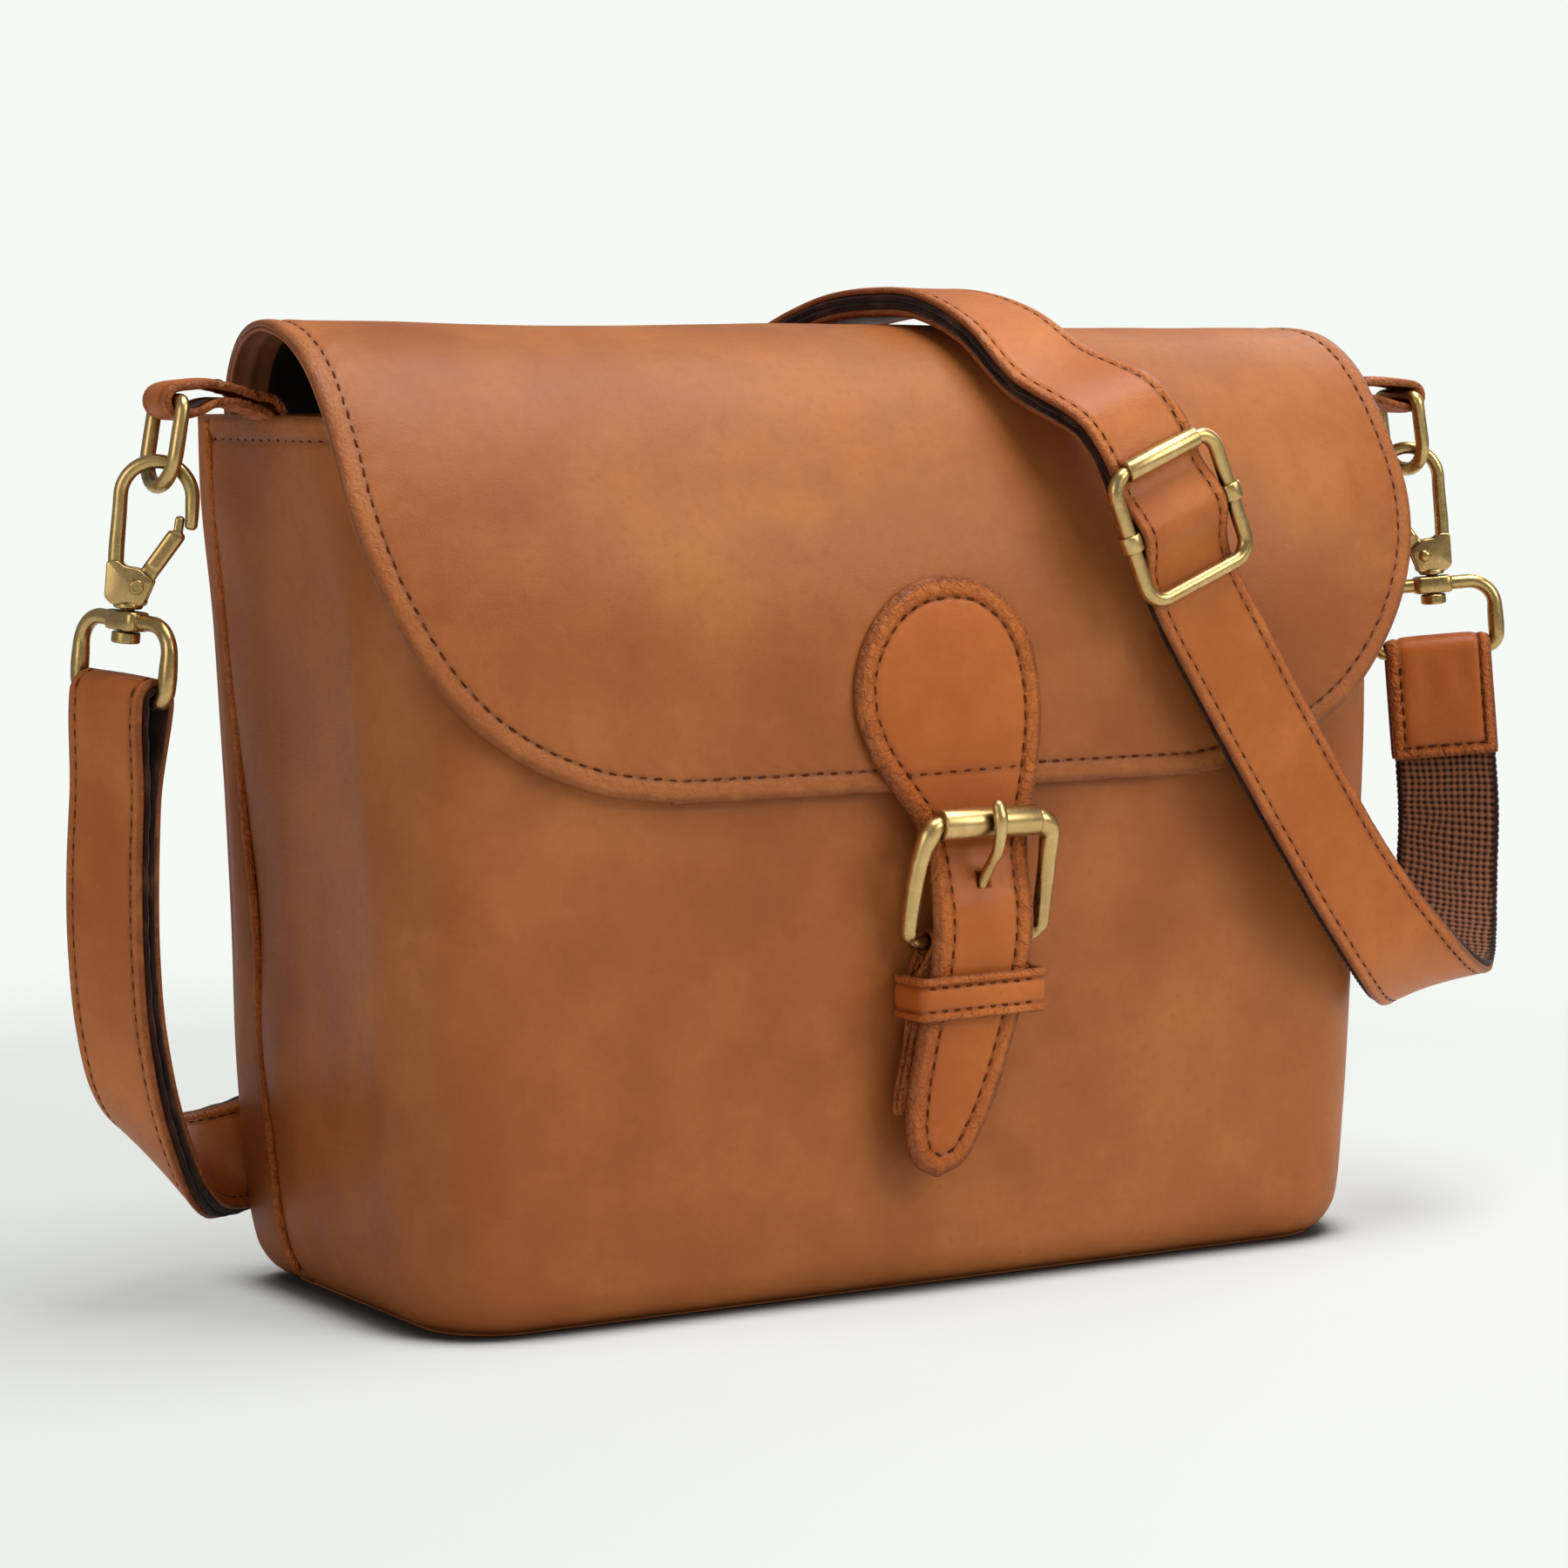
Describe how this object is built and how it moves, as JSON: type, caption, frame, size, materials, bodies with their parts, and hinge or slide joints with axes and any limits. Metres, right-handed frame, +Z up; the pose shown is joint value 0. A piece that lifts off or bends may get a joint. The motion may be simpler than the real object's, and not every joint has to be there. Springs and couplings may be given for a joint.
{
  "type": "sling bag",
  "caption": "Tan leather sling bag with a boxed base, a fold-over flap with a roller buckle tab, side rings, swivel trigger hooks and an adjustable webbing-backed strap.",
  "frame": {"origin": "centre of the underside of the base", "axes": "+X along the width to the right seen from the front, +Y from front to back, +Z up"},
  "size_m": [0.3789, 0.1314, 0.2324],
  "materials": {
    "leather_body": "semi-matt pull-up leather, tan",
    "leather_trim": "semi-matt pull-up leather, warmer tan",
    "leather_strap": "semi-matt strap leather, tan",
    "webbing": "dark brown woven webbing",
    "lining_cloth": "black lining cloth",
    "base_board": "stiffener board",
    "snap_metal": "plated magnetic snap",
    "antique_brass": "brushed antique brass"
  },
  "bodies": {
    "bag": {"front_panel": "leather_body", "back_panel": "leather_body", "base_panel": "leather_body", "base_board": "base_board", "bag_lining": "lining_cloth", "rim_facing": "leather_body", "side_welt_left": "leather_body", "side_welt_right": "leather_body", "flap_root_band": "leather_body", "anchor_tab_left": "leather_trim", "anchor_tab_right": "leather_trim", "snap_socket": "snap_metal", "snap_backing": "snap_metal", "strap_leather_left": "leather_strap", "strap_webbing_left": "webbing", "strap_leather_back": "leather_strap", "strap_webbing_back": "webbing", "strap_leather_bend": "leather_strap", "strap_webbing_bend": "webbing", "strap_leather_right": "leather_strap", "strap_webbing_right": "webbing", "strap_end_cap": "leather_trim"},
    "flap": {"flap_leather": "leather_body", "flap_lining": "lining_cloth", "closure_strap": "leather_trim", "closure_chape": "leather_trim", "keeper_loop": "leather_trim", "snap_stud": "snap_metal", "strap_leather_flap": "leather_strap", "strap_webbing_flap": "webbing", "slider_frame": "antique_brass"},
    "buckle": {"buckle_frame": "antique_brass"},
    "buckle_roller": {"buckle_roller": "antique_brass"},
    "buckle_prong": {"buckle_prong": "antique_brass"},
    "slider_roller": {"slider_roller": "antique_brass"},
    "ring_left": {"ring_left": "antique_brass"},
    "swivel_left": {"swivel_loop_left": "antique_brass"},
    "hook_left": {"hook_left": "antique_brass", "gate_rivet_left": "antique_brass", "gate_spring_left": "antique_brass", "swivel_stem_left": "antique_brass"},
    "gate_left": {"hook_gate_left": "antique_brass"},
    "ring_right": {"ring_right": "antique_brass"},
    "swivel_right": {"swivel_loop_right": "antique_brass"},
    "hook_right": {"hook_right": "antique_brass", "gate_rivet_right": "antique_brass", "gate_spring_right": "antique_brass", "swivel_stem_right": "antique_brass"},
    "gate_right": {"hook_gate_right": "antique_brass"}
  },
  "joints": [
    {"name": "flap_open", "type": "hinge", "parent": "bag", "child": "flap", "pos_m": [0, 0.04615, 0.2023], "axis": [-1, 0, 0], "range_deg": [0, 105], "deforming": ["strap_leather_bend", "strap_webbing_bend"]},
    {"name": "buckle_tilt", "type": "hinge", "parent": "flap", "child": "buckle", "pos_m": [0.006, -0.0562, 0.082], "axis": [1, 0, 0], "range_deg": [0, 8]},
    {"name": "buckle_roller_spin", "type": "hinge", "parent": "buckle", "child": "buckle_roller", "pos_m": [0.006, -0.0616, 0.1095], "axis": [1, 0, 0], "continuous": true},
    {"name": "prong_lift", "type": "hinge", "parent": "buckle", "child": "buckle_prong", "pos_m": [0.006, -0.0562, 0.082], "axis": [1, 0, 0], "range_deg": [0, 6]},
    {"name": "slider_roller_spin", "type": "hinge", "parent": "flap", "child": "slider_roller", "pos_m": [0.05112, -0.0659, 0.19318], "axis": [0.9231, 0, 0.3846], "continuous": true},
    {"name": "ring_left_swing", "type": "hinge", "parent": "bag", "child": "ring_left", "pos_m": [-0.1646, 0.008, 0.206], "axis": [0, 1, 0], "range_deg": [-5, 5]},
    {"name": "swivel_left_tilt", "type": "hinge", "parent": "bag", "child": "swivel_left", "pos_m": [-0.17513, 0.01253, 0.14075], "axis": [0.2571, -0.9643, -0.0632], "range_deg": [-1.5, 1.5]},
    {"name": "hook_left_turn", "type": "hinge", "parent": "swivel_left", "child": "hook_left", "pos_m": [-0.17362, 0.01161, 0.16087], "axis": [0.0743, -0.0455, 0.9962], "range_deg": [-8, 15]},
    {"name": "gate_left_open", "type": "hinge", "parent": "hook_left", "child": "gate_left", "pos_m": [-0.17168, 0.01042, 0.16509], "axis": [-0.522, -0.853, 0], "range_deg": [0, 20], "stiffness_Nm_per_rad": 0.02},
    {"name": "ring_right_swing", "type": "hinge", "parent": "bag", "child": "ring_right", "pos_m": [0.1686, -0.008, 0.206], "axis": [0, -1, 0], "range_deg": [-5, 5]},
    {"name": "swivel_right_tilt", "type": "hinge", "parent": "bag", "child": "swivel_right", "pos_m": [0.17913, -0.01253, 0.14075], "axis": [-0.8497, 0.52, -0.0872], "range_deg": [-1.5, 1.5]},
    {"name": "hook_right_turn", "type": "hinge", "parent": "swivel_right", "child": "hook_right", "pos_m": [0.17762, -0.01161, 0.16087], "axis": [-0.0743, 0.0455, 0.9962], "range_deg": [-8, 15]},
    {"name": "gate_right_open", "type": "hinge", "parent": "hook_right", "child": "gate_right", "pos_m": [0.17568, -0.01042, 0.16509], "axis": [0.522, 0.853, 0], "range_deg": [0, 20], "stiffness_Nm_per_rad": 0.02}
  ]
}
